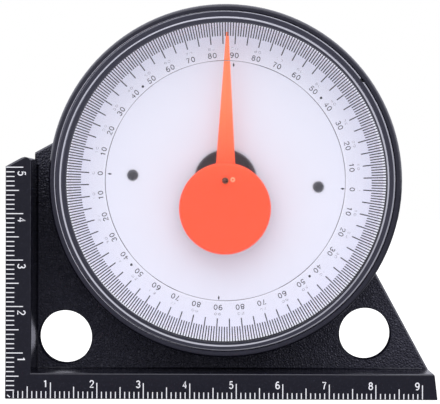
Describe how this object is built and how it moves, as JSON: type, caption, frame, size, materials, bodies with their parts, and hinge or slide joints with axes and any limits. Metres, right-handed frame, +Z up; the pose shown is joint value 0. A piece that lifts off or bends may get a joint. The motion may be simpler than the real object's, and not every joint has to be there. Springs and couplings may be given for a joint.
{
  "type": "inclinometer",
  "caption": "Angle-measuring inclinometer: a weighted pointer hangs in a round dial that turns in an L-shaped ruler frame with a magnetic, grooved foot.",
  "frame": {"origin": "middle of the foot's underside, the bottom centre of the overall box", "axes": "+X to the right along the foot's ruler, +Y away from the reader, +Z up; the dial faces -Y"},
  "size_m": [0.093, 0.028, 0.0853],
  "materials": {
    "frame_plastic": "satin",
    "cup_plastic": "satin",
    "dish_plastic": "satin",
    "hub_plastic": "satin",
    "lens_clear": "gloss",
    "pointer_orange": "satin",
    "gasket_rubber": "matte",
    "magnet_ferrite": "matte",
    "steel": "satin",
    "brass": "satin",
    "rivet_black": "satin",
    "spacer_plastic": "satin",
    "ruler_ink": "matte",
    "dial_ink": "matte"
  },
  "bodies": {
    "frame": {"frame": "frame_plastic", "base_magnet_front": "magnet_ferrite", "base_magnet_rear": "magnet_ferrite"},
    "capsule": {"capsule_cup": "cup_plastic", "dial_dish": "dish_plastic", "bearing_hub": "hub_plastic", "dial_rivets": "rivet_black", "lens_gasket": "gasket_rubber", "lens": "lens_clear", "pivot_pin": "steel", "hub_spacer": "spacer_plastic", "spring_washer": "steel", "flat_washer": "steel", "dial_screw": "steel"},
    "pointer": {"pointer": "pointer_orange", "pointer_bush": "brass", "counterweight": "steel"}
  },
  "joints": [
    {"name": "dial_turn", "type": "hinge", "parent": "frame", "child": "capsule", "pos_m": [0.0008, 0, 0.0471], "axis": [0, -1, 0], "continuous": true},
    {"name": "pointer_swing", "type": "hinge", "parent": "capsule", "child": "pointer", "pos_m": [0.0008, -0.008, 0.0471], "axis": [0, -1, 0], "continuous": true}
  ]
}
